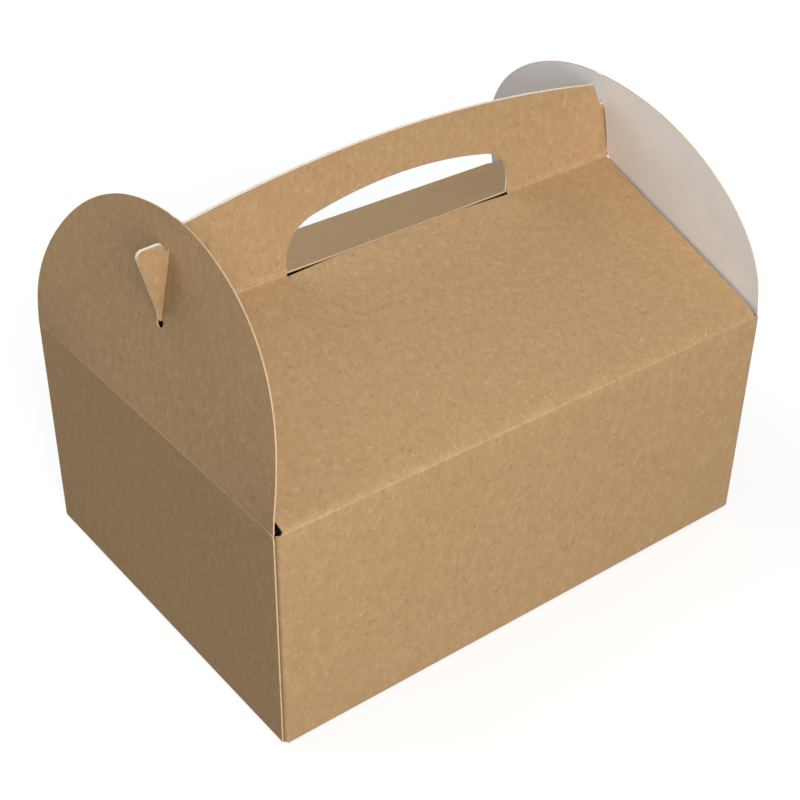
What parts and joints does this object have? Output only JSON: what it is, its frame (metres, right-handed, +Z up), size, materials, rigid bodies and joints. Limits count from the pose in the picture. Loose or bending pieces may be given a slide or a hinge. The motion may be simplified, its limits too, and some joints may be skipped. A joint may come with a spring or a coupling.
{
  "type": "cardboard carry box with handle",
  "caption": "Gable-top carry box folded from kraft board, with a fold-up handle held shut by slotted end flaps.",
  "frame": {"origin": "centre of the underside of the base", "axes": "+X along the box and its handle, +Y across the box, +Z up"},
  "size_m": [0.19, 0.136, 0.146],
  "materials": {
    "kraft_board": "matt brown kraft outside, white inside"
  },
  "bodies": {
    "box": {"carton": "kraft_board"},
    "left_flap": {"left_end_flap": "kraft_board"},
    "right_flap": {"right_end_flap": "kraft_board"}
  },
  "joints": [
    {"name": "left_flap_crease", "type": "hinge", "parent": "box", "child": "left_flap", "pos_m": [-0.095, 0, 0.079], "axis": [0, -1, 0], "range_deg": [0, 170]},
    {"name": "right_flap_crease", "type": "hinge", "parent": "box", "child": "right_flap", "pos_m": [0.095, 0, 0.079], "axis": [0, 1, 0], "range_deg": [0, 170]}
  ]
}
